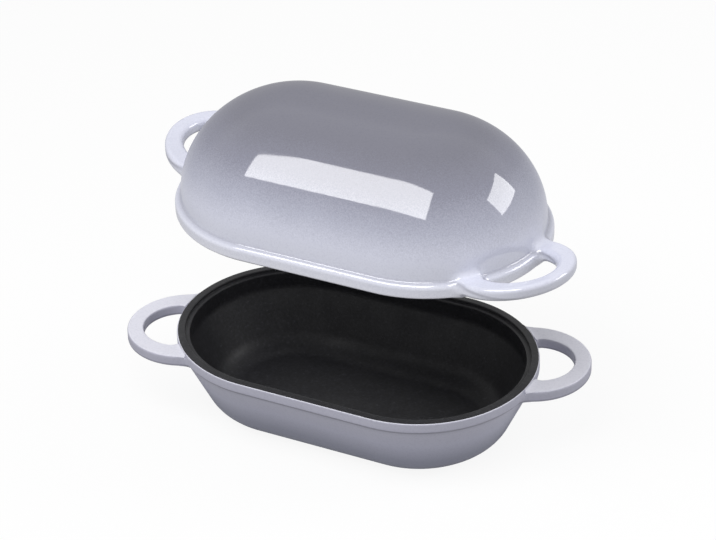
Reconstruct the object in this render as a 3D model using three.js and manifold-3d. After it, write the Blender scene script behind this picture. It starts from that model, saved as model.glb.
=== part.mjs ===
// Enamelled cast iron bread pan: an oblong base with rounded ends and a tall domed lid.
// Each is one casting with two loop handles, pale enamel outside and a black coat inside.
// Millimetres, +Z up, +X along the pan, origin under the middle of the base, which stands on z = 0.
// The lid is drawn raised off the base, by LID_LIFT up and LID_SHIFT along the pan.
import * as THREE from "three";
import { mergeVertices } from "three/addons/utils/BufferGeometryUtils.js";
import Module from "manifold-3d";

const wasm = await Module();
wasm.setup();

// Plan of both castings: two half rounds joined by straight sides
const END_SPACING = 103; // between the centres of the two round ends
const RIM_RADIUS = 88; // outer edge of the base's rim, from an end's centre
const END_STEPS = 22; // facets round each half-round end

// Castings and coats
const WALL = 4.2;
const COAT = 0.6; // black enamel inside, over its bond to the iron
const COAT_BOND = 0.05;
const LID_LIFT = 105.5; // the lid's seat above the base's rim
const LID_SHIFT = 8;

// Base
const BASE_HEIGHT = 64;
const BASE_FLOOR = 5;
const BASE_CORNER_INSET = 27; // in from the rim to where the lines of wall and underside would meet
const BASE_CORNER_FILLET = 26.5;
const RIM_BAND_HEIGHT = 7.5;
const RIM_BAND_STEP = 1.3; // the band stands proud of the wall
const RIM_EDGE_FILLET = 0.8;
const BAND_UNDER_FILLET = 2;
const NECK_FILLET = 12; // inside, where the wall turns upright under the ledge

// Locating step between lid and base
const LAND_WIDTH = 5.6; // flat top of the rim that carries the lid
const LEDGE_DEPTH = 2.4;
const LEDGE_WIDTH = 3.4;
const LIP_CLEARANCE = 0.7;
const LIP_THICKNESS = 2;
const LIP_DEPTH = 1.6;

// Lid
const LID_HEIGHT = 88.5; // seat to crown
const LID_BEAD_OVERHANG = 1.5; // beyond the base's rim
const LID_BEAD_HEIGHT = 10;
const LID_BEAD_FILLET = 4;
const LID_SEAT_FILLET = 2;
const LID_SHOULDER_RISE = 2; // the bead's top slopes up to the dome
const LID_NECK_FILLET = 2.2; // concave, between bead and dome
const DOME_FOOT_INSET = 3; // in from the rim to where the dome leaves the bead
const DOME_FOOT_HEIGHT = 13.5;
const CROWN_HALF_WIDTH = 6; // flat strip along the crown
const DOME_STEPS = 9; // facets from crown to foot

// Radii that follow the rim
const BASE_CORNER_RADIUS = RIM_RADIUS - BASE_CORNER_INSET;
const LID_BEAD_RADIUS = RIM_RADIUS + LID_BEAD_OVERHANG;
const DOME_FOOT_RADIUS = RIM_RADIUS - DOME_FOOT_INSET;

// Loop handles, flat and level: the base's turned one way off the long axis, the lid's the other
const HANDLE_ANGLE = THREE.MathUtils.degToRad(23);
const LOOP_RADIUS = 43.7;
const EYE_RADIUS = 27.3;
const EYE_OFFSET = 4.2; // the eye's centre beyond the loop's, so the loop is widest at its roots
const LOOP_STEPS = 9;
const ROOT_FILLET = 10; // where a loop runs into the wall
const ROOT_SINK = 0.8; // the roots' fillets start this far inside the wall
const BASE_LOOP = {
  centre: RIM_RADIUS - 6, // from the end's centre
  wall: RIM_RADIUS - ROOT_SINK,
  underside: BASE_HEIGHT - 10.2,
  thickness: 8.6,
  edge: 1.4,
};
const LID_LOOP = {
  centre: RIM_RADIUS - 0.5,
  wall: DOME_FOOT_RADIUS - ROOT_SINK,
  underside: 9.5, // above the seat
  thickness: 10,
  edge: 3,
};

// Materials
const baseEnamel = new THREE.MeshStandardMaterial({ color: 0xcbcbd7, roughness: 0.18, metalness: 0 });
const lidEnamel = new THREE.MeshStandardMaterial({ color: 0xb4b6c5, roughness: 0.12, metalness: 0 });
const blackEnamel = new THREE.MeshStandardMaterial({ color: 0x2b2a2f, roughness: 0.6, metalness: 0 });

const FILLET_STEP = THREE.MathUtils.degToRad(18);

// Points along a polyline of [r, z, fillet] corners, with each filleted corner turned into an arc.
function filleted(corners) {
  const points = [];
  corners.forEach(([r, z, fillet = 0], i) => {
    const corner = new THREE.Vector2(r, z);
    if (!fillet) {
      points.push(corner);
      return;
    }
    const before = new THREE.Vector2(...corners[i - 1]).sub(corner).normalize();
    const after = new THREE.Vector2(...corners[i + 1]).sub(corner).normalize();
    const half = Math.acos(THREE.MathUtils.clamp(before.dot(after), -1, 1)) / 2;
    const middle = before.clone().add(after).normalize().multiplyScalar(fillet / Math.sin(half));
    const centre = corner.clone().add(middle);
    const from = corner.clone().addScaledVector(before, fillet / Math.tan(half)).sub(centre).angle();
    const turn = Math.PI - 2 * half;
    const clockwise = before.cross(after) > 0;
    const steps = Math.max(2, Math.ceil(turn / FILLET_STEP));
    const to = clockwise ? from - turn : from + turn;
    const arc = new THREE.EllipseCurve(centre.x, centre.y, fillet, fillet, from, to, clockwise);
    points.push(...arc.getPoints(steps));
  });
  return points;
}

// A profile turned round the racetrack: a lathe whose two halves are drawn apart along X.
function racetrack(profile) {
  const stations = 2 * END_STEPS + 2;
  const geometry = new THREE.LatheGeometry(profile, stations);
  const position = geometry.getAttribute("position");
  for (let station = 0; station <= stations; station++) {
    const around = station % stations;
    const side = around <= END_STEPS ? 1 : -1;
    const turn = side > 0 ? around : around - 1;
    const angle = (turn / END_STEPS - 0.5) * Math.PI;
    profile.forEach(({ x: radius, y: height }, k) => {
      const x = (side * END_SPACING) / 2 + radius * Math.cos(angle);
      position.setXYZ(station * profile.length + k, x, radius * Math.sin(angle), height);
    });
  }
  return geometry;
}

// A closed solid from a geometry, with its faces pointing out.
function solid(geometry) {
  const bare = geometry.clone();
  bare.deleteAttribute("normal");
  bare.deleteAttribute("uv");
  const merged = mergeVertices(bare, 1e-4);
  const index = merged.index.array;
  const kept = [];
  for (let i = 0; i < index.length; i += 3) {
    const [a, b, c] = index.slice(i, i + 3);
    if (a !== b && b !== c && c !== a) kept.push(a, b, c);
  }
  const make = (triangles) =>
    new wasm.Manifold(
      new wasm.Mesh({
        numProp: 3,
        vertProperties: new Float32Array(merged.attributes.position.array),
        triVerts: new Uint32Array(triangles),
      }),
    );
  const made = make(kept);
  return made.volume() < 0 ? make(kept.reverse()) : made;
}

// A named mesh from a solid.
function mesh(name, body, material) {
  const { vertProperties, triVerts } = body.getMesh();
  const geometry = new THREE.BufferGeometry();
  geometry.setAttribute("position", new THREE.BufferAttribute(new Float32Array(vertProperties), 3));
  geometry.setIndex(new THREE.BufferAttribute(new Uint32Array(triVerts), 1));
  geometry.computeVertexNormals();
  const made = new THREE.Mesh(geometry, material);
  made.name = name;
  return made;
}

// Slope of the base's wall: how far it leans out for each millimetre of height.
const BAND_FOOT = BASE_HEIGHT - RIM_BAND_HEIGHT;
const WALL_TOP = RIM_RADIUS - RIM_BAND_STEP;
const WALL_LEAN = (WALL_TOP - BASE_CORNER_RADIUS) / (BAND_FOOT - RIM_BAND_STEP);

// Inside of the base from the middle of its floor to the outer edge of its rim, off the iron by depth.
function baseInside(depth) {
  const across = (WALL + depth) * Math.hypot(1, WALL_LEAN);
  const floor = BASE_FLOOR + depth;
  const riser = RIM_RADIUS - LAND_WIDTH - depth;
  const ledgeEdge = RIM_RADIUS - LAND_WIDTH - LEDGE_WIDTH - depth;
  const ledge = BASE_HEIGHT - COAT - LEDGE_DEPTH + depth;
  const land = BASE_HEIGHT - COAT + depth;
  return [
    [0, floor],
    [BASE_CORNER_RADIUS - across + WALL_LEAN * floor, floor, BASE_CORNER_FILLET - WALL - depth],
    [ledgeEdge, (ledgeEdge + across - BASE_CORNER_RADIUS) / WALL_LEAN, NECK_FILLET],
    [ledgeEdge, ledge],
    [riser, ledge],
    [riser, land],
    [RIM_RADIUS - RIM_EDGE_FILLET, land],
  ];
}

// Outside of the base from the middle of its underside to the outer edge of its rim.
function baseOutside() {
  const top = BASE_HEIGHT - COAT;
  return [
    [0, 0],
    [BASE_CORNER_RADIUS, 0, BASE_CORNER_FILLET],
    [WALL_TOP, BAND_FOOT - RIM_BAND_STEP, BAND_UNDER_FILLET],
    [RIM_RADIUS, BAND_FOOT, BAND_UNDER_FILLET / 2],
    [RIM_RADIUS, top, RIM_EDGE_FILLET],
    [RIM_RADIUS - RIM_EDGE_FILLET, top],
  ];
}

// The dome from its crown to its foot, drawn in by depth.
function domeArc(depth) {
  const across = DOME_FOOT_RADIUS - CROWN_HALF_WIDTH - depth;
  const rise = LID_HEIGHT - DOME_FOOT_HEIGHT - depth;
  const quarter = Math.PI / 2;
  const arc = new THREE.EllipseCurve(CROWN_HALF_WIDTH, DOME_FOOT_HEIGHT, across, rise, quarter, 0, true);
  return arc.getPoints(DOME_STEPS).map((point) => point.toArray());
}

// Inside of the lid from its crown to the outer edge of its seat, standing off the iron by depth.
// A lip below the seat drops inside the base's rim.
function lidInside(depth) {
  const lipOuter = RIM_RADIUS - LAND_WIDTH - 2 * COAT - LIP_CLEARANCE + depth;
  const lipInner = RIM_RADIUS - LAND_WIDTH - 2 * COAT - LIP_CLEARANCE - LIP_THICKNESS - depth;
  const seat = COAT - depth;
  return [
    [0, LID_HEIGHT - WALL - depth],
    ...domeArc(WALL + depth),
    [lipInner, seat - LIP_DEPTH],
    [lipOuter, seat - LIP_DEPTH],
    [lipOuter, seat],
    [LID_BEAD_RADIUS - LID_SEAT_FILLET, seat],
  ];
}

// Outside of the lid from its crown to the outer edge of its seat.
function lidOutside() {
  return [
    [0, LID_HEIGHT],
    ...domeArc(0),
    [DOME_FOOT_RADIUS, LID_BEAD_HEIGHT + LID_SHOULDER_RISE, LID_NECK_FILLET],
    [LID_BEAD_RADIUS, LID_BEAD_HEIGHT, LID_BEAD_FILLET],
    [LID_BEAD_RADIUS, COAT, LID_SEAT_FILLET],
    [LID_BEAD_RADIUS - LID_SEAT_FILLET, COAT],
  ];
}

// A casting or coat between two profiles that start on the middle line and end on the rim.
const between = (outer, inner) => solid(racetrack([...filleted(outer), ...filleted(inner).reverse()]));

// Everything inside a profile that starts on the middle line, closed by a cone to the given height.
const filled = (profile, apex) => solid(racetrack([...filleted(profile), new THREE.Vector2(0, apex)]));

// Plan of a loop that reaches out along X from a wall of the given radius, with filleted roots.
// The part of it inside the wall is spare, and is cut away later.
function loopOutline(centre, wall, edge) {
  const radius = LOOP_RADIUS - edge;
  const fillet = ROOT_FILLET + edge;
  const reach = wall - edge + fillet;
  const x = (reach ** 2 - (radius + fillet) ** 2 + centre ** 2) / (2 * centre);
  const y = Math.sqrt(reach ** 2 - x ** 2);
  const onWall = Math.atan2(y, x);
  const onLoop = Math.atan2(y, x - centre);
  const outline = new THREE.Shape();
  outline.moveTo((x * wall) / reach / 2, (-y * wall) / reach / 2);
  outline.absarc(x, -y, fillet, Math.PI - onWall, Math.PI - onLoop, true);
  outline.absarc(centre, 0, radius, -onLoop, onLoop);
  outline.absarc(x, y, fillet, onLoop - Math.PI, onWall - Math.PI, true);
  outline.lineTo((x * wall) / reach / 2, (y * wall) / reach / 2);
  outline.holes.push(new THREE.Path().absarc(centre + EYE_OFFSET, 0, EYE_RADIUS + edge, 0, 2 * Math.PI));
  return outline;
}

// A loop handle at one end: a flat loop with rounded edges.
function loop(end, angle, { centre, wall, underside, thickness, edge }) {
  const geometry = new THREE.ExtrudeGeometry(loopOutline(centre, wall, edge), {
    depth: thickness - 2 * edge,
    bevelThickness: edge,
    bevelSize: edge,
    bevelSegments: 2,
    curveSegments: LOOP_STEPS,
  });
  geometry.translate(0, 0, underside + edge);
  geometry.rotateZ(end > 0 ? angle : angle + Math.PI);
  geometry.translate((end * END_SPACING) / 2, 0, 0);
  return solid(geometry);
}

// A casting with its two loops run into the wall, and nothing of them inside it.
function withLoops(casting, core, angle, form) {
  const [right, left] = [1, -1].map((end) => loop(end, angle, form).subtract(core));
  return casting.add(right).add(left);
}

// The base and its black coat
function base() {
  const group = new THREE.Group();
  const casting = between(baseOutside(), baseInside(0));
  const core = filled(baseInside(-WALL / 2), 2 * BASE_HEIGHT);
  group.add(mesh("base_pan", withLoops(casting, core, HANDLE_ANGLE, BASE_LOOP), baseEnamel));
  group.add(mesh("base_inner_coat", between(baseInside(COAT_BOND), baseInside(COAT)), blackEnamel));
  return group;
}

// The lid and its black coat, drawn from its own seat
function lid() {
  const group = new THREE.Group();
  const casting = between(lidOutside(), lidInside(0));
  const core = filled(lidInside(-WALL / 2), -LID_HEIGHT);
  group.add(mesh("lid_dome", withLoops(casting, core, -HANDLE_ANGLE, LID_LOOP), lidEnamel));
  group.add(mesh("lid_inner_coat", between(lidInside(COAT_BOND), lidInside(COAT)), blackEnamel));
  group.position.set(LID_SHIFT, 0, BASE_HEIGHT + LID_LIFT);
  return group;
}

const breadPan = new THREE.Group();
breadPan.add(base(), lid());

export default breadPan;
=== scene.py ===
"""Looks of the enamelled cast iron bread pan: fine smooth forms in place of the faceted castings,
sprayed enamel and black coats, softboxes, and the photograph's camera."""

import math

import bmesh
import bpy
import numpy as np
from mathutils import Matrix, Vector


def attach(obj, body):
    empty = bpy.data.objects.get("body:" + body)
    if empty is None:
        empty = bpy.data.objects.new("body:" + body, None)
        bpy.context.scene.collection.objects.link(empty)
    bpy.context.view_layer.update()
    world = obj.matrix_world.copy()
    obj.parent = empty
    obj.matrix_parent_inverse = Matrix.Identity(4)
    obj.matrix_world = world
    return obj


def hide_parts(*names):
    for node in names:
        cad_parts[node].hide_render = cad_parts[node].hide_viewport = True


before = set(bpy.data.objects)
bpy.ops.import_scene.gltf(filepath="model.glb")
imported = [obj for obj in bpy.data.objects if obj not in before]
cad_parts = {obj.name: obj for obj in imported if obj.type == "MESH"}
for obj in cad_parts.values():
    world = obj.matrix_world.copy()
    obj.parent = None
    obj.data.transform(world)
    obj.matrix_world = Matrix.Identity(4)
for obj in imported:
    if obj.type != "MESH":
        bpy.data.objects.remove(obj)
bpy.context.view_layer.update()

MM = 0.001

# Plan of both castings, in millimetres as in the part
END_SPACING = 103  # between the centres of the two round ends
RIM_RADIUS = 88  # outer edge of the base's rim, from an end's centre
END_STEPS = 144
SIDE_STEPS = 24

# Castings and coats
WALL = 4.2
COAT = 0.6  # black enamel inside, over its bond to the iron
COAT_BOND = 0.05
COAT_EDGE = 0.4  # rounding of the coat's corners
LID_LIFT = 105.5  # the lid's seat above the base's rim
LID_SHIFT = 8

# Base
BASE_HEIGHT = 64
BASE_FLOOR = 5
BASE_CORNER_INSET = 27  # in from the rim to where the lines of wall and underside would meet
BASE_CORNER_FILLET = 26.5
RIM_BAND_HEIGHT = 7.5
RIM_BAND_STEP = 1.3  # the band stands proud of the wall
RIM_EDGE_FILLET = 0.8
BAND_UNDER_FILLET = 2
NECK_FILLET = 12  # inside, where the wall turns upright under the ledge

# Locating step between lid and base
LAND_WIDTH = 5.6  # flat top of the rim that carries the lid
LEDGE_DEPTH = 2.4
LEDGE_WIDTH = 3.4
LIP_CLEARANCE = 0.7
LIP_THICKNESS = 2
LIP_DEPTH = 1.6

# Lid
LID_HEIGHT = 88.5  # seat to crown
LID_BEAD_OVERHANG = 1.5  # beyond the base's rim
LID_BEAD_HEIGHT = 10
LID_BEAD_FILLET = 4
LID_SEAT_FILLET = 2
LID_SHOULDER_RISE = 2  # the bead's top slopes up to the dome
LID_NECK_FILLET = 2.2  # concave, between bead and dome
DOME_FOOT_INSET = 3  # in from the rim to where the dome leaves the bead
DOME_FOOT_HEIGHT = 13.5
CROWN_HALF_WIDTH = 6  # flat strip along the crown
DOME_SHOULDER = 1.1  # 1 is an ellipse, and more draws the dome's shoulder in
DOME_STEPS = 64

# Sizes that follow from those above
BASE_CORNER_RADIUS = RIM_RADIUS - BASE_CORNER_INSET
LID_BEAD_RADIUS = RIM_RADIUS + LID_BEAD_OVERHANG
DOME_FOOT_RADIUS = RIM_RADIUS - DOME_FOOT_INSET
LID_SEAT = BASE_HEIGHT + LID_LIFT
BAND_FOOT = BASE_HEIGHT - RIM_BAND_HEIGHT
WALL_TOP = RIM_RADIUS - RIM_BAND_STEP
WALL_LEAN = (WALL_TOP - BASE_CORNER_RADIUS) / (BAND_FOOT - RIM_BAND_STEP)

# Loop handles: the base's turned one way off the long axis, the lid's the other
HANDLE_ANGLE = math.radians(23)
LOOP_RADIUS = 43.7
EYE_RADIUS = 27.3
EYE_OFFSET = 4.2  # the eye's centre beyond the loop's, so the loop is widest at its roots
ROOT_OVERRUN = 0.12  # radians that the arms run on round the loop, inside the wall
LOOP_STEPS = 130
SECTION_CORNER_STEPS = 8
SECTION_WIDTH_STEPS = 10
SECTION_HEIGHT_STEPS = 4
BASE_LOOP = dict(
    centre=RIM_RADIUS - 6,  # from the end's centre
    cut=RIM_RADIUS - 2.5,  # where the roots end inside the wall
    underside=BASE_HEIGHT - 10.2,  # at the loop's centre
    slope=0,
    thickness=8.6,
    edge=1.4,
    blend=6,  # reach of the smooth blend with the wall
    level=4,  # above 1, heights count for more, so that the blend spreads along the wall and not up it
)
LID_LOOP = dict(
    centre=RIM_RADIUS - 0.5,
    cut=DOME_FOOT_RADIUS - 2.2,
    underside=4.6,
    slope=0.19,  # the lid's handles rise to their tips
    thickness=10,
    edge=3.6,
    blend=7,
    level=1,
)

# Fineness of the meshes
FILLET_STEP = math.radians(6)
LEAST_FILLET_STEPS = 3
LONGEST_RUN = 2
MERGE_DISTANCE = 1e-4
SLIVER_WIDTH = 1e-5
SHARP_ANGLE = math.radians(40)

# Blend of walls and loops
MELD_STEPS = 5
MELD_REACH = 0.25  # a vertex deeper inside the other form than this share of the blend stays unmoved
PROBE = 0.02  # to either side of a point, for the slope of the blend there
LEAST_STEEPNESS = 0.2  # squared slope that a step is divided by at the least
SURFACE_SLACK = 1e-3  # a vertex this near a surface counts as on it

# Enamel: display colours at shares of a casting's height, and how the sprayed coat varies
LID_LOOK = dict(
    stops=[
        (0.0, (228, 229, 240)),
        (0.13, (213, 215, 229)),
        (0.3, (206, 208, 224)),
        (0.5, (167, 169, 186)),
        (0.72, (124, 125, 141)),
        (0.92, (103, 103, 116)),
    ],
    tops=None,
    spray=0.05,
    # share of the height where the neck above the bead gets a painted shade stripe
    crease=(LID_BEAD_HEIGHT + LID_SHOULDER_RISE) / LID_HEIGHT,
    roughness=0.05,
    ior=1.8,
)
BASE_LOOK = dict(
    # darker towards the bottom and on the rim band: partly the enamel's own ombre and partly painted shade
    # where the wall faces down and the band stands upright
    stops=[
        (0.0, (136, 139, 157)),
        (0.3, (154, 156, 175)),
        (0.6, (194, 195, 214)),
        (0.8, (200, 200, 217)),
        (0.9, (182, 182, 198)),
        (0.942, (186, 186, 201)),
    ],
    # painted light: faces that turn up are tinted pale, as if lit from above
    tops=(231, 231, 242),
    spray=0.006,
    # share of the height where the crease under the rim band gets a painted shade stripe
    crease=1 - (RIM_BAND_HEIGHT + RIM_BAND_STEP) / BASE_HEIGHT,
    roughness=0.32,
    ior=1.42,
)
NOISE_SPAN = (0.3, 0.7)  # where most of a noise texture's values lie
TOP_LIGHT_SPAN = (0.6, 0.95)  # upright part of the normal, from the first pale tint of painted top light to the full one
SPRAY_GRAIN = dict(scale=1100, detail=2, roughness=0.6)
COLOR_CLOUDS = dict(scale=14, detail=2)
COLOR_DRIFT = 0.02  # share of the height that the clouds move a colour
FLECKS = dict(scale=700, detail=1, roughness=0.4)
UNTINTED = (1, 1, 1)
FLECK_STOPS = [(0.3, (0.94, 0.94, 0.95)), (0.52, UNTINTED)]
# painted shade: a darker stripe along the crease under the base's band and above the lid's bead
PAINTED_CREASE_SHADE = (0.6, 0.6, 0.62)
CREASE_BELOW = 0.025  # reach of the shade, as shares of the height
CREASE_ABOVE = 0.018
GLOSS_CLOUDS = dict(scale=35, detail=3)
GLOSS_DRIFT = 0.02
FULL_GLOSS = 0.5  # specular level
DULL_FROM = 0.4  # on a scale from 0, seen square on, to 1, seen edge on
DULL_POWER = 3
ENAMEL_SKIN = dict(scale=160, detail=2)
ENAMEL_BUMP = dict(strength=0.025, distance=0.0002)

# Black coats
BLACK_MOTTLE = dict(scale=420, detail=4, roughness=0.6)
BLACK_STOPS = [(0.35, (25, 25, 28)), (0.6, (35, 35, 39)), (0.75, (54, 54, 59))]
BLACK_CLOUDS = dict(scale=60, detail=3)
BLACK_ROUGHNESS = (0.42, 0.56)
BLACK_IOR = 1.36
BLACK_PEBBLES = dict(scale=650, detail=3)
BLACK_BUMP = dict(strength=0.25, distance=0.0003)

# Floor, with its lengths in metres, and world
FLOOR_HALF = 4
FLOOR_DROP = 0.0003  # below the underside of the base
FLOOR_GLOW = 0.9  # share of plain white that the eye sees, the rest being lit and shadowed
FLOOR_LIT = 0.95
FLOOR_BOUNCE = 0.4  # grey to rays that light the object
FILL_STRENGTH = 0.46

# Softboxes, in metres and watts
KEY_BOX = dict(
    at=(-0.092, -0.55, 1.137),
    across=(0.994, -0.108, 0.025),
    up=(-0.087, 0.504, 0.859),
    width=0.973,
    height=0.645,
    power=11.2,
)
SIDE_BOX = dict(
    at=(1.035, 0.539, 0.770),
    across=(-0.498, 0.867, 0),
    up=(-0.478, -0.129, 0.868),
    width=0.66,
    height=0.45,
    power=4.4,
)

# Camera at the photograph's place
CAMERA_AZIMUTH = math.radians(27.320)
CAMERA_ELEVATION = math.radians(31.383)
CAMERA_ROLL = math.radians(-1.583)
CAMERA_DISTANCE = 1.954
CAMERA_LENS = 131.82
CAMERA_CLIP = 20
SENSOR_WIDTH = 36
IMAGE_WIDTH = 716
IMAGE_HEIGHT = 540
AIM = Vector((0, 0, 0.033))
AIM_PIXEL = (357.34, 374.67)  # where the point aimed at lies in the image


def filleted(corners):
    """Points along [r, z, fillet] corners, with each filleted corner turned into an arc."""
    points = []
    for i, (r, z, *rest) in enumerate(corners):
        corner = Vector((r, z))
        fillet = rest[0] if rest else 0
        if not fillet:
            points.append(corner)
            continue
        before = (Vector(corners[i - 1][:2]) - corner).normalized()
        after = (Vector(corners[i + 1][:2]) - corner).normalized()
        half = before.angle(after) / 2
        centre = corner + (before + after).normalized() * (fillet / math.sin(half))
        spoke = corner + before * (fillet / math.tan(half)) - centre
        turn = math.pi - 2 * half
        if before.cross(after) > 0:
            turn = -turn
        steps = max(LEAST_FILLET_STEPS, math.ceil(abs(turn) / FILLET_STEP))
        for k in range(steps + 1):
            points.append(centre + Matrix.Rotation(turn * k / steps, 2) @ spoke)
    return points


def divided(points):
    """The same points with long straight runs split, so that a blend can bend them locally."""
    split = [points[0]]
    for start, end in zip(points, points[1:]):
        steps = math.ceil((end - start).length / LONGEST_RUN)
        split.extend(start.lerp(end, (k + 1) / steps) for k in range(steps))
    return split


def base_inside(depth):
    """Corners of the base's inside from the middle of the floor to the rim, raised by a depth of coat."""
    across = (WALL + depth) * math.hypot(1, WALL_LEAN)
    floor = BASE_FLOOR + depth
    riser = RIM_RADIUS - LAND_WIDTH - depth
    ledge_edge = riser - LEDGE_WIDTH
    ledge = BASE_HEIGHT - COAT - LEDGE_DEPTH + depth
    land = BASE_HEIGHT - COAT + depth
    return [
        (0, floor),
        (BASE_CORNER_RADIUS - across + WALL_LEAN * floor, floor, BASE_CORNER_FILLET - WALL - depth),
        (ledge_edge, (ledge_edge + across - BASE_CORNER_RADIUS) / WALL_LEAN, NECK_FILLET),
        (ledge_edge, ledge, 2 * COAT_EDGE),
        (riser, ledge, COAT_EDGE),
        (riser, land, 2 * COAT_EDGE),
        (RIM_RADIUS - RIM_EDGE_FILLET, land),
    ]


def base_outside():
    """Corners of the base's outside from the middle of the underside to the rim."""
    top = BASE_HEIGHT - COAT
    return [
        (0, 0),
        (BASE_CORNER_RADIUS, 0, BASE_CORNER_FILLET),
        (WALL_TOP, BAND_FOOT - RIM_BAND_STEP, BAND_UNDER_FILLET),
        (RIM_RADIUS, BAND_FOOT, BAND_UNDER_FILLET / 2),
        (RIM_RADIUS, top, RIM_EDGE_FILLET),
        (RIM_RADIUS - RIM_EDGE_FILLET, top),
    ]


def base_wall():
    """The base's outside from top to bottom, run on upright past the rim so that no blend bends its top."""
    rising = filleted(base_outside()[:-2] + [(RIM_RADIUS, BASE_HEIGHT)])
    return [(RIM_RADIUS, 2 * BASE_HEIGHT)] + rising[::-1]


def dome_arc(depth):
    """Points of the dome from crown to foot, a depth inside its outer surface."""
    across = DOME_FOOT_RADIUS - CROWN_HALF_WIDTH - depth
    rise = LID_HEIGHT - DOME_FOOT_HEIGHT - depth
    angles = [math.pi / 2 * (1 - k / DOME_STEPS) for k in range(DOME_STEPS + 1)]
    return [
        (CROWN_HALF_WIDTH + across * math.cos(a) ** DOME_SHOULDER, DOME_FOOT_HEIGHT + rise * math.sin(a))
        for a in angles
    ]


def lid_inside(depth):
    """Corners of the lid's inside from the crown past the lip to the seat, moved in by a depth of coat."""
    lip_face = RIM_RADIUS - LAND_WIDTH - 2 * COAT - LIP_CLEARANCE
    lip_outer = lip_face + depth
    lip_inner = lip_face - LIP_THICKNESS - depth
    seat = COAT - depth
    return [
        (0, LID_HEIGHT - WALL - depth),
        *dome_arc(WALL + depth),
        (lip_inner, seat - LIP_DEPTH, COAT_EDGE),
        (lip_outer, seat - LIP_DEPTH, COAT_EDGE),
        (lip_outer, seat, COAT_EDGE),
        (LID_BEAD_RADIUS - LID_SEAT_FILLET, seat),
    ]


def lid_outside():
    """Corners of the lid's outside from the crown to the seat."""
    return [
        (0, LID_HEIGHT),
        *dome_arc(0),
        (DOME_FOOT_RADIUS, LID_BEAD_HEIGHT + LID_SHOULDER_RISE, LID_NECK_FILLET),
        (LID_BEAD_RADIUS, LID_BEAD_HEIGHT, LID_BEAD_FILLET),
        (LID_BEAD_RADIUS, COAT, LID_SEAT_FILLET),
        (LID_BEAD_RADIUS - LID_SEAT_FILLET, COAT),
    ]


def stations():
    """Spine point and outward direction at each station round the racetrack."""
    half = END_SPACING / 2
    found = []
    for side in (1, -1):
        for k in range(END_STEPS + 1):
            angle = math.pi * (k / END_STEPS - 0.5)
            found.append((side * half, side * math.cos(angle), side * math.sin(angle)))
        for k in range(1, SIDE_STEPS):
            found.append((side * half * (1 - 2 * k / SIDE_STEPS), 0, side))
    return found


def sweep(build, profile):
    """A profile that starts and ends on the middle line, carried round the racetrack into a bmesh."""
    rings = [
        [build.verts.new((spine + r * dx, r * dy, z)) for r, z in profile]
        for spine, dx, dy in stations()
    ]
    for ring, following in zip(rings, rings[1:] + rings[:1]):
        for k in range(len(profile) - 1):
            build.faces.new((ring[k], following[k], following[k + 1], ring[k + 1]))


def section(width, height, edge):
    """A rounded rectangle about the origin, with its straight runs divided."""
    half = (width / 2 - edge, height / 2 - edge)
    points = []
    for quarter in range(4):
        sx = 1 if quarter in (0, 3) else -1
        sy = 1 if quarter in (0, 1) else -1
        for k in range(SECTION_CORNER_STEPS + 1):
            angle = math.pi / 2 * (quarter + k / SECTION_CORNER_STEPS)
            points.append((sx * half[0] + edge * math.cos(angle), sy * half[1] + edge * math.sin(angle)))
        x, y = points[-1]
        level = quarter % 2 == 0
        steps = SECTION_WIDTH_STEPS if level else SECTION_HEIGHT_STEPS
        for k in range(1, steps):
            along = 2 * k / steps
            points.append((x - along * sx * half[0], y) if level else (x, y - along * sy * half[1]))
    return points


def loop_place(end, angle):
    """Where a loop's own frame lies: X out along the loop from the centre of its end."""
    turn = angle if end > 0 else angle + math.pi
    return Matrix.Translation((end * END_SPACING / 2, 0, 0)) @ Matrix.Rotation(turn, 4, "Z")


def wall_gap(points, outline):
    """How far points stand off an outer profile that runs from top to bottom, negative inside it."""
    x, y, z = points.T
    at = np.column_stack((np.hypot(np.maximum(np.abs(x) - END_SPACING / 2, 0), y), z))
    nearest = np.full(len(at), np.inf)
    gap = np.zeros(len(at))
    for start, end in zip(outline, outline[1:]):
        run = end - start
        along = np.clip((at - start) @ run / (run @ run), 0, 1)
        away = at - start - along[:, None] * run
        distance = np.hypot(*away.T)
        side = np.sign(run[0] * away[:, 1] - run[1] * away[:, 0])
        gap = np.where(distance < nearest, side * distance, gap)
        nearest = np.minimum(nearest, distance)
    return gap


def loop_gap(points, place, form):
    """How far points stand off a loop with rounded edges, negative inside it."""
    local = points @ np.array(place.inverted().to_3x3()).T + np.array(place.inverted().translation)
    x, y, z = local.T
    x = x - form["centre"]
    plan = np.maximum(np.hypot(x, y) - LOOP_RADIUS, EYE_RADIUS - np.hypot(x - EYE_OFFSET, y))
    half = form["thickness"] / 2
    middle = form["underside"] + half + form["slope"] * x
    rise = (np.abs(z - middle) - half) * form["level"]
    out = np.column_stack((plan, rise)) + form["edge"]
    return np.minimum(out.max(axis=1), 0) + np.hypot(*np.maximum(out, 0).T) - form["edge"]


def meld(verts, outline, place, form):
    """Moves the vertices near a root onto one smooth surface that blends the wall and the loop."""
    blend = form["blend"]

    def gaps(points):
        return wall_gap(points, outline), loop_gap(points, place, form)

    def field(points):
        wall, loop = gaps(points)
        share = np.clip(0.5 + 0.5 * (loop - wall) / blend, 0, 1)
        return loop + (wall - loop) * share - blend * share * (1 - share)

    points = np.array([vert.co for vert in verts])
    wall, loop = gaps(points)
    near = np.abs(wall - loop) < blend
    shown = np.minimum(wall, loop) > -MELD_REACH * blend
    chosen = np.flatnonzero(near & shown & (np.maximum(wall, loop) > -SURFACE_SLACK))
    moved = points[chosen]
    for _ in range(MELD_STEPS):
        slope = np.column_stack([
            (field(moved + PROBE * axis) - field(moved - PROBE * axis)) / (2 * PROBE) for axis in np.eye(3)
        ])
        steepness = np.maximum((slope ** 2).sum(axis=1), LEAST_STEEPNESS)
        moved = moved - (field(moved) / steepness)[:, None] * slope
    for index, point in zip(chosen, moved):
        verts[index].co = point


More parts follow.
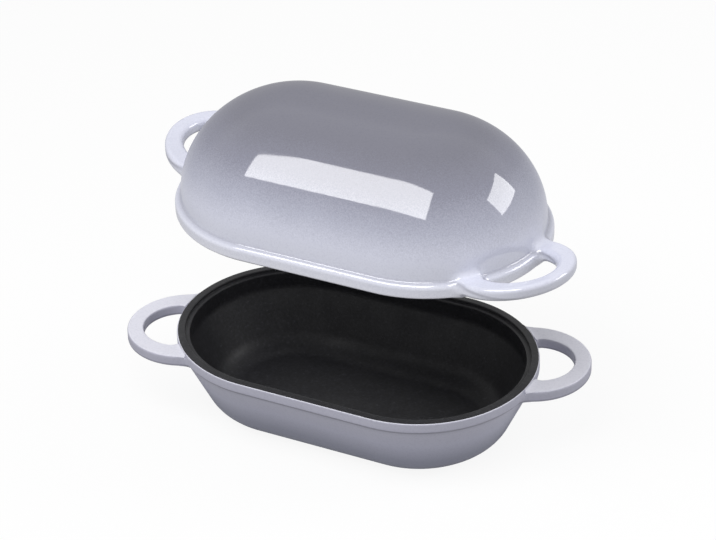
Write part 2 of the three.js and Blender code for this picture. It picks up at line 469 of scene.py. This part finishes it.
def loop_handle(build, place, form):
    """A loop handle whose roots end inside the wall, added to a bmesh; gives its vertices."""
    middle_height = form["underside"] + form["thickness"] / 2
    centre = Vector((form["centre"], 0, 0))
    reach = form["cut"] ** 2 - form["centre"] ** 2 - LOOP_RADIUS ** 2
    root = math.acos(reach / (2 * form["centre"] * LOOP_RADIUS)) + ROOT_OVERRUN
    rings = []
    for k in range(LOOP_STEPS + 1):
        t = root * (2 * k / LOOP_STEPS - 1)
        out = Vector((math.cos(t), math.sin(t), 0))
        inner = EYE_OFFSET * math.cos(t) + math.sqrt(EYE_RADIUS ** 2 - (EYE_OFFSET * math.sin(t)) ** 2)
        ring = []
        for across, up in section(LOOP_RADIUS - inner, form["thickness"], form["edge"]):
            point = centre + out * ((LOOP_RADIUS + inner) / 2 + across)
            point *= max(1, form["cut"] / point.length)
            point.z = middle_height + form["slope"] * (point.x - form["centre"]) + up
            ring.append(build.verts.new(place @ point))
        rings.append(ring)
    count = len(rings[0])
    for ring, following in zip(rings, rings[1:]):
        for k in range(count):
            n = (k + 1) % count
            build.faces.new((ring[k], following[k], following[n], ring[n]))
    build.faces.new(rings[0])
    build.faces.new(rings[-1][::-1])
    return [vert for ring in rings for vert in ring]


def casting(outside, inside, wall, angle, form):
    """A casting between two profiles, with a loop melded into the wall at each end."""
    build = bmesh.new()
    sweep(build, divided(filleted(outside)) + filleted(inside)[::-1])
    outline = np.array([tuple(point) for point in wall])
    shell = list(build.verts)
    gaps = wall_gap(np.array([vert.co for vert in shell]), outline)
    on_wall = [vert for vert, gap in zip(shell, gaps) if abs(gap) < SURFACE_SLACK]
    for end in (1, -1):
        place = loop_place(end, angle)
        loop = loop_handle(build, place, form)
        meld(on_wall, outline, place, form)
        meld(loop, outline, place, form)
    return build


def coat(inside):
    """A coat of enamel over an inside."""
    build = bmesh.new()
    sweep(build, filleted(inside(COAT_BOND)) + filleted(inside(COAT))[::-1])
    return build


def piece(name, build, body, node, offset, material):
    """A finished smooth piece that stands for a node and moves with its body."""
    bmesh.ops.remove_doubles(build, verts=build.verts, dist=MERGE_DISTANCE)
    bmesh.ops.dissolve_degenerate(build, edges=build.edges, dist=SLIVER_WIDTH)
    bmesh.ops.recalc_face_normals(build, faces=build.faces)
    bmesh.ops.scale(build, vec=(MM, MM, MM), verts=build.verts)
    bmesh.ops.translate(build, vec=Vector(offset) * MM, verts=build.verts)
    mesh = bpy.data.meshes.new(name)
    build.to_mesh(mesh)
    build.free()
    mesh.polygons.foreach_set("use_smooth", [True] * len(mesh.polygons))
    mesh.set_sharp_from_angle(angle=SHARP_ANGLE)
    made = bpy.data.objects.new(name, mesh)
    bpy.context.scene.collection.objects.link(made)
    mesh.materials.append(material)
    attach(made, body)
    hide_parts(node)


def linear(red, green, blue):
    """A display colour, 0 to 255, as the shader's linear colour."""
    return tuple(
        c / 12.92 if c <= 0.04045 else ((c + 0.055) / 1.055) ** 2.4
        for c in (red / 255, green / 255, blue / 255)
    )


class Shader:
    """A principled material with short calls for its nodes."""

    def __init__(self, name):
        self.material = bpy.data.materials.new(name)
        self.material.use_nodes = True
        self.tree = self.material.node_tree
        self.surface = self.tree.nodes["Principled BSDF"]
        self.place = self.add("ShaderNodeTexCoord").outputs["Object"]

    def add(self, kind, **settings):
        node = self.tree.nodes.new(kind)
        for key, value in settings.items():
            setattr(node, key, value)
        return node

    def link(self, output, target):
        self.tree.links.new(output, target)

    def noise(self, scale, detail, roughness=0.5):
        node = self.add("ShaderNodeTexNoise")
        self.link(self.place, node.inputs["Vector"])
        node.inputs["Scale"].default_value = scale
        node.inputs["Detail"].default_value = detail
        node.inputs["Roughness"].default_value = roughness
        return node.outputs["Fac"]

    def spread(self, value, low, high, to_low, to_high):
        """A value moved from one span to another, and held inside it."""
        node = self.add("ShaderNodeMapRange")
        self.link(value, node.inputs["Value"])
        node.inputs["From Min"].default_value = low
        node.inputs["From Max"].default_value = high
        node.inputs["To Min"].default_value = to_low
        node.inputs["To Max"].default_value = to_high
        return node.outputs["Result"]

    def sum(self, a, b):
        node = self.add("ShaderNodeMath", operation="ADD")
        self.link(a, node.inputs[0])
        self.link(b, node.inputs[1])
        return node.outputs["Value"]

    def upright(self, vector):
        axes = self.add("ShaderNodeSeparateXYZ")
        self.link(vector, axes.inputs["Vector"])
        return axes.outputs["Z"]

    def ramp(self, value, stops):
        node = self.add("ShaderNodeValToRGB")
        elements = node.color_ramp.elements
        while len(elements) < len(stops):
            elements.new(0.5)
        for element, (at, color) in zip(elements, stops):
            element.position = at
            element.color = (*color, 1)
        self.link(value, node.inputs["Fac"])
        return node.outputs["Color"]

    def tint(self, color, shade):
        node = self.add("ShaderNodeMix", data_type="RGBA", blend_type="MULTIPLY")
        node.inputs[0].default_value = 1
        self.link(color, node.inputs[6])
        self.link(shade, node.inputs[7])
        return node.outputs[2]

    def paint_light_on_tops(self, color, pale):
        """Painted light: a colour that turns pale where the surface faces up, as if lit from above."""
        normal = self.add("ShaderNodeNewGeometry").outputs["Normal"]
        node = self.add("ShaderNodeMix", data_type="RGBA")
        self.link(self.spread(self.upright(normal), *TOP_LIGHT_SPAN, 0, 1), node.inputs[0])
        self.link(color, node.inputs[6])
        node.inputs[7].default_value = (*pale, 1)
        return node.outputs[2]

    def dull_edges(self):
        """Less gloss where the surface turns away, so that outlines stay clear on a pale backdrop."""
        facing = self.add("ShaderNodeLayerWeight").outputs["Facing"]
        level = self.add("ShaderNodeMath", operation="POWER")
        full = FULL_GLOSS ** (1 / DULL_POWER)
        self.link(self.spread(facing, DULL_FROM, 1, full, 0), level.inputs[0])
        level.inputs[1].default_value = DULL_POWER
        self.link(level.outputs["Value"], self.surface.inputs["Specular IOR Level"])

    def bump(self, height, strength, distance):
        node = self.add("ShaderNodeBump")
        node.inputs["Strength"].default_value = strength
        node.inputs["Distance"].default_value = distance
        self.link(height, node.inputs["Height"])
        self.link(node.outputs["Normal"], self.surface.inputs["Normal"])


def enamel(name, low, high, look):
    """Enamel whose colour runs up the piece, with the grain of a sprayed coat,
    painted shade along the crease, and painted light on faces that turn up where the look asks for it."""
    shader = Shader(name)
    height = shader.spread(shader.upright(shader.place), low * MM, high * MM, 0, 1)
    grain = shader.spread(shader.noise(**SPRAY_GRAIN), *NOISE_SPAN, -look["spray"], look["spray"])
    drift = shader.spread(shader.noise(**COLOR_CLOUDS), *NOISE_SPAN, -COLOR_DRIFT, COLOR_DRIFT)
    stops = [(at, linear(*color)) for at, color in look["stops"]]
    color = shader.ramp(shader.sum(shader.sum(height, grain), drift), stops)
    # painted light on faces that turn up
    if look["tops"]:
        color = shader.paint_light_on_tops(color, linear(*look["tops"]))
    fleck = shader.ramp(shader.noise(**FLECKS), FLECK_STOPS)
    # painted shade: a darker stripe along the crease
    painted_shade = shader.ramp(height, [
        (look["crease"] - CREASE_BELOW, UNTINTED),
        (look["crease"], PAINTED_CREASE_SHADE),
        (look["crease"] + CREASE_ABOVE, UNTINTED),
    ])
    shader.link(shader.tint(shader.tint(color, fleck), painted_shade), shader.surface.inputs["Base Color"])
    smoothest = look["roughness"] - GLOSS_DRIFT
    roughest = look["roughness"] + GLOSS_DRIFT
    rough = shader.spread(shader.noise(**GLOSS_CLOUDS), *NOISE_SPAN, smoothest, roughest)
    shader.link(rough, shader.surface.inputs["Roughness"])
    shader.surface.inputs["IOR"].default_value = look["ior"]
    shader.dull_edges()
    shader.bump(shader.noise(**ENAMEL_SKIN), **ENAMEL_BUMP)
    return shader.material


def black_coat(name):
    """Matte black enamel with a fine pebbled skin."""
    shader = Shader(name)
    stops = [(at, linear(*color)) for at, color in BLACK_STOPS]
    shader.link(shader.ramp(shader.noise(**BLACK_MOTTLE), stops), shader.surface.inputs["Base Color"])
    rough = shader.spread(shader.noise(**BLACK_CLOUDS), *NOISE_SPAN, *BLACK_ROUGHNESS)
    shader.link(rough, shader.surface.inputs["Roughness"])
    shader.surface.inputs["IOR"].default_value = BLACK_IOR
    shader.bump(shader.noise(**BLACK_PEBBLES), **BLACK_BUMP)
    return shader.material


def white_to_the_eye(tree, target):
    """Gives a socket 1 for rays that see the backdrop directly, in gloss or through glass."""
    path = tree.nodes.new("ShaderNodeLightPath")
    total = path.outputs["Is Camera Ray"]
    for name in ("Is Glossy Ray", "Is Transmission Ray"):
        add = tree.nodes.new("ShaderNodeMath")
        add.operation = "MAXIMUM"
        tree.links.new(total, add.inputs[0])
        tree.links.new(path.outputs[name], add.inputs[1])
        total = add.outputs["Value"]
    tree.links.new(total, target)


def diffuse(tree, level):
    """A plain grey diffuse shader."""
    node = tree.nodes.new("ShaderNodeBsdfDiffuse")
    node.inputs["Color"].default_value = (level, level, level, 1)
    return node.outputs["BSDF"]


def floor_white():
    """A floor white to the eye that keeps part of the object's shadow, and is darker to other rays."""
    material = bpy.data.materials.new("floor_white")
    material.use_nodes = True
    tree = material.node_tree
    tree.nodes.clear()
    glow = tree.nodes.new("ShaderNodeEmission")
    glow.inputs["Strength"].default_value = 1
    shown = tree.nodes.new("ShaderNodeMixShader")
    shown.inputs["Fac"].default_value = FLOOR_GLOW
    mixed = tree.nodes.new("ShaderNodeMixShader")
    white_to_the_eye(tree, mixed.inputs["Fac"])
    result = tree.nodes.new("ShaderNodeOutputMaterial")
    tree.links.new(diffuse(tree, FLOOR_LIT), shown.inputs[1])
    tree.links.new(glow.outputs["Emission"], shown.inputs[2])
    tree.links.new(diffuse(tree, FLOOR_BOUNCE), mixed.inputs[1])
    tree.links.new(shown.outputs["Shader"], mixed.inputs[2])
    tree.links.new(mixed.outputs["Shader"], result.inputs["Surface"])
    return material


def studio_world():
    """A world that is white to the eye, and a plain fill light for the rest."""
    world = bpy.data.worlds.new("studio")
    world.use_nodes = True
    tree = world.node_tree
    sky = tree.nodes["Background"]
    sky.inputs["Color"].default_value = (1, 1, 1, 1)
    level = tree.nodes.new("ShaderNodeMapRange")
    level.inputs["To Min"].default_value = FILL_STRENGTH
    level.inputs["To Max"].default_value = 1
    white_to_the_eye(tree, level.inputs["Value"])
    tree.links.new(level.outputs["Result"], sky.inputs["Strength"])
    return world


def softbox(name, at, across, up, width, height, power):
    """A rectangular soft light facing away from across x up."""
    light = bpy.data.lights.new(name, "AREA")
    light.shape = "RECTANGLE"
    light.size = width
    light.size_y = height
    light.energy = power
    made = bpy.data.objects.new(name, light)
    x = Vector(across).normalized()
    z = x.cross(Vector(up)).normalized()
    y = z.cross(x)
    made.matrix_world = Matrix.Translation(at) @ Matrix((x, y, z)).transposed().to_4x4()
    bpy.context.scene.collection.objects.link(made)


def photograph_camera():
    """The camera, turned and shifted so that the point aimed at falls on its pixel."""
    back = Vector((
        math.sin(CAMERA_AZIMUTH) * math.cos(CAMERA_ELEVATION),
        -math.cos(CAMERA_AZIMUTH) * math.cos(CAMERA_ELEVATION),
        math.sin(CAMERA_ELEVATION),
    ))
    level_right = Vector((math.cos(CAMERA_AZIMUTH), math.sin(CAMERA_AZIMUTH), 0))
    level_up = back.cross(level_right)
    right = level_right * math.cos(CAMERA_ROLL) + level_up * math.sin(CAMERA_ROLL)
    up = level_up * math.cos(CAMERA_ROLL) - level_right * math.sin(CAMERA_ROLL)
    metres_per_pixel = CAMERA_DISTANCE * SENSOR_WIDTH / (CAMERA_LENS * IMAGE_WIDTH)
    off_right = (AIM_PIXEL[0] - IMAGE_WIDTH / 2) * metres_per_pixel
    off_down = (AIM_PIXEL[1] - IMAGE_HEIGHT / 2) * metres_per_pixel
    eye = AIM - right * off_right + up * off_down + back * CAMERA_DISTANCE
    data = bpy.data.cameras.new("camera")
    data.sensor_width = SENSOR_WIDTH
    data.sensor_fit = "HORIZONTAL"
    data.lens = CAMERA_LENS
    data.clip_end = CAMERA_CLIP
    camera = bpy.data.objects.new("camera", data)
    camera.matrix_world = Matrix.Translation(eye) @ Matrix((right, up, back)).transposed().to_4x4()
    return camera


# Base
base_offset = (0, 0, 0)
base_enamel = enamel("base_enamel", 0, BASE_HEIGHT, BASE_LOOK)
base_black = black_coat("base_black_coat")
base_casting = casting(base_outside(), base_inside(0), base_wall(), HANDLE_ANGLE, BASE_LOOP)
base_coat = coat(base_inside)
piece("base_pan_enamelled", base_casting, "base", "base_pan", base_offset, base_enamel)
piece("base_black_inside", base_coat, "base", "base_inner_coat", base_offset, base_black)

# Lid
lid_offset = (LID_SHIFT, 0, LID_SEAT)
lid_enamel = enamel("lid_enamel", LID_SEAT, LID_SEAT + LID_HEIGHT, LID_LOOK)
lid_black = black_coat("lid_black_coat")
lid_casting = casting(lid_outside(), lid_inside(0), filleted(lid_outside()), -HANDLE_ANGLE, LID_LOOP)
lid_coat = coat(lid_inside)
piece("lid_dome_enamelled", lid_casting, "lid", "lid_dome", lid_offset, lid_enamel)
piece("lid_black_inside", lid_coat, "lid", "lid_inner_coat", lid_offset, lid_black)

# Floor, world, lights and camera
floor_mesh = bpy.data.meshes.new("floor")
floor_signs = ((-1, -1), (1, -1), (1, 1), (-1, 1))
floor_corners = [(x * FLOOR_HALF, y * FLOOR_HALF, -FLOOR_DROP) for x, y in floor_signs]
floor_mesh.from_pydata(floor_corners, [], [(0, 1, 2, 3)])
floor_mesh.materials.append(floor_white())
floor = bpy.data.objects.new("floor", floor_mesh)
bpy.context.scene.collection.objects.link(floor)

softbox("key", **KEY_BOX)
softbox("side", **SIDE_BOX)

camera = photograph_camera()
bpy.context.scene.collection.objects.link(camera)
bpy.context.scene.camera = camera
bpy.context.scene.world = studio_world()
bpy.context.scene.view_settings.view_transform = "Standard"
